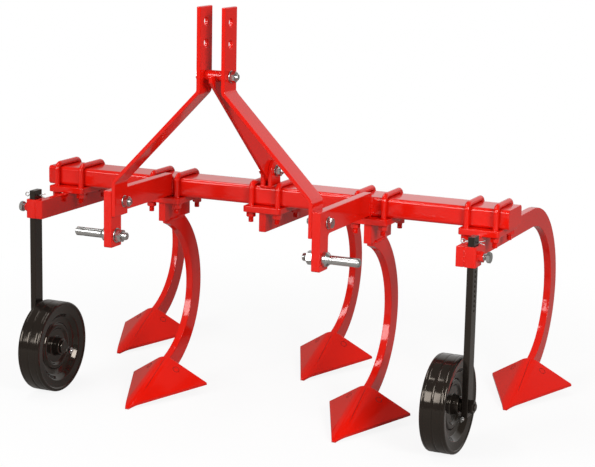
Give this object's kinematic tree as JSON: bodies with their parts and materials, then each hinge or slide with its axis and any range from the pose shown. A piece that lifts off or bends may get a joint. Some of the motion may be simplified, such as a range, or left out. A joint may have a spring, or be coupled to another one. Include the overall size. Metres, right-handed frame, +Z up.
{
  "type": "field cultivator",
  "caption": "Three-point hitch field cultivator with a box-tube toolbar, clamped C-shaped shanks with V sweeps, a bolted mast and height-adjustable gauge wheels.",
  "frame": {"origin": "on the ground under the middle of the whole machine's box", "axes": "+X to the machine's right along the toolbar, -Y forward to the tractor, +Z up"},
  "size_m": [1.398, 0.965, 1.0623],
  "materials": {
    "red_paint": "gloss red enamel",
    "zinc": "bright zinc plate",
    "black_enamel": "gloss black enamel"
  },
  "bodies": {
    "frame": {"toolbar": "red_paint", "toolbar_caps": "red_paint", "hitch_arm_left": "red_paint", "hitch_arm_right": "red_paint", "mast_bar_left": "red_paint", "mast_bar_right": "red_paint", "mast_spacer": "red_paint", "mast_bolt": "zinc", "brace": "red_paint", "brace_lugs": "red_paint", "brace_bolt": "zinc", "mast_foot_bolt_left": "zinc", "mast_foot_bolt_right": "zinc", "lower_pin_left": "zinc", "lower_pin_right": "zinc", "clamp_plate_1": "red_paint", "clamp_plate_2": "red_paint", "clamp_plate_3": "red_paint", "clamp_plate_4": "red_paint", "clamp_plate_5": "red_paint", "clamp_bolts_1": "red_paint", "clamp_bolts_2": "red_paint", "clamp_bolts_3": "red_paint", "clamp_bolts_4": "red_paint", "clamp_bolts_5": "red_paint", "shank_block_2": "red_paint", "shank_block_4": "red_paint", "shank_1": "red_paint", "shank_2": "red_paint", "shank_3": "red_paint", "shank_4": "red_paint", "shank_5": "red_paint", "sweep_1": "red_paint", "sweep_2": "red_paint", "sweep_3": "red_paint", "sweep_4": "red_paint", "sweep_5": "red_paint", "post_sleeve_left": "red_paint", "post_sleeve_right": "red_paint", "set_bolt_left": "zinc", "set_bolt_right": "zinc"},
    "left_post": {"wheel_post_left": "black_enamel", "post_pin_left": "zinc", "axle_left": "zinc"},
    "left_wheel": {"wheel_left": "black_enamel"},
    "right_post": {"wheel_post_right": "black_enamel", "post_pin_right": "zinc", "axle_right": "zinc"},
    "right_wheel": {"wheel_right": "black_enamel"}
  },
  "joints": [
    {"name": "left_post_slide", "type": "slide", "parent": "frame", "child": "left_post", "axis": [0, 0, 1], "range_m": [0, 0.19]},
    {"name": "left_wheel_spin", "type": "hinge", "parent": "left_post", "child": "left_wheel", "pos_m": [-0.563, -0.2985, 0.121], "axis": [1, 0, 0], "continuous": true},
    {"name": "right_post_slide", "type": "slide", "parent": "frame", "child": "right_post", "axis": [0, 0, 1], "range_m": [0, 0.19]},
    {"name": "right_wheel_spin", "type": "hinge", "parent": "right_post", "child": "right_wheel", "pos_m": [0.563, -0.2985, 0.121], "axis": [1, 0, 0], "continuous": true}
  ]
}
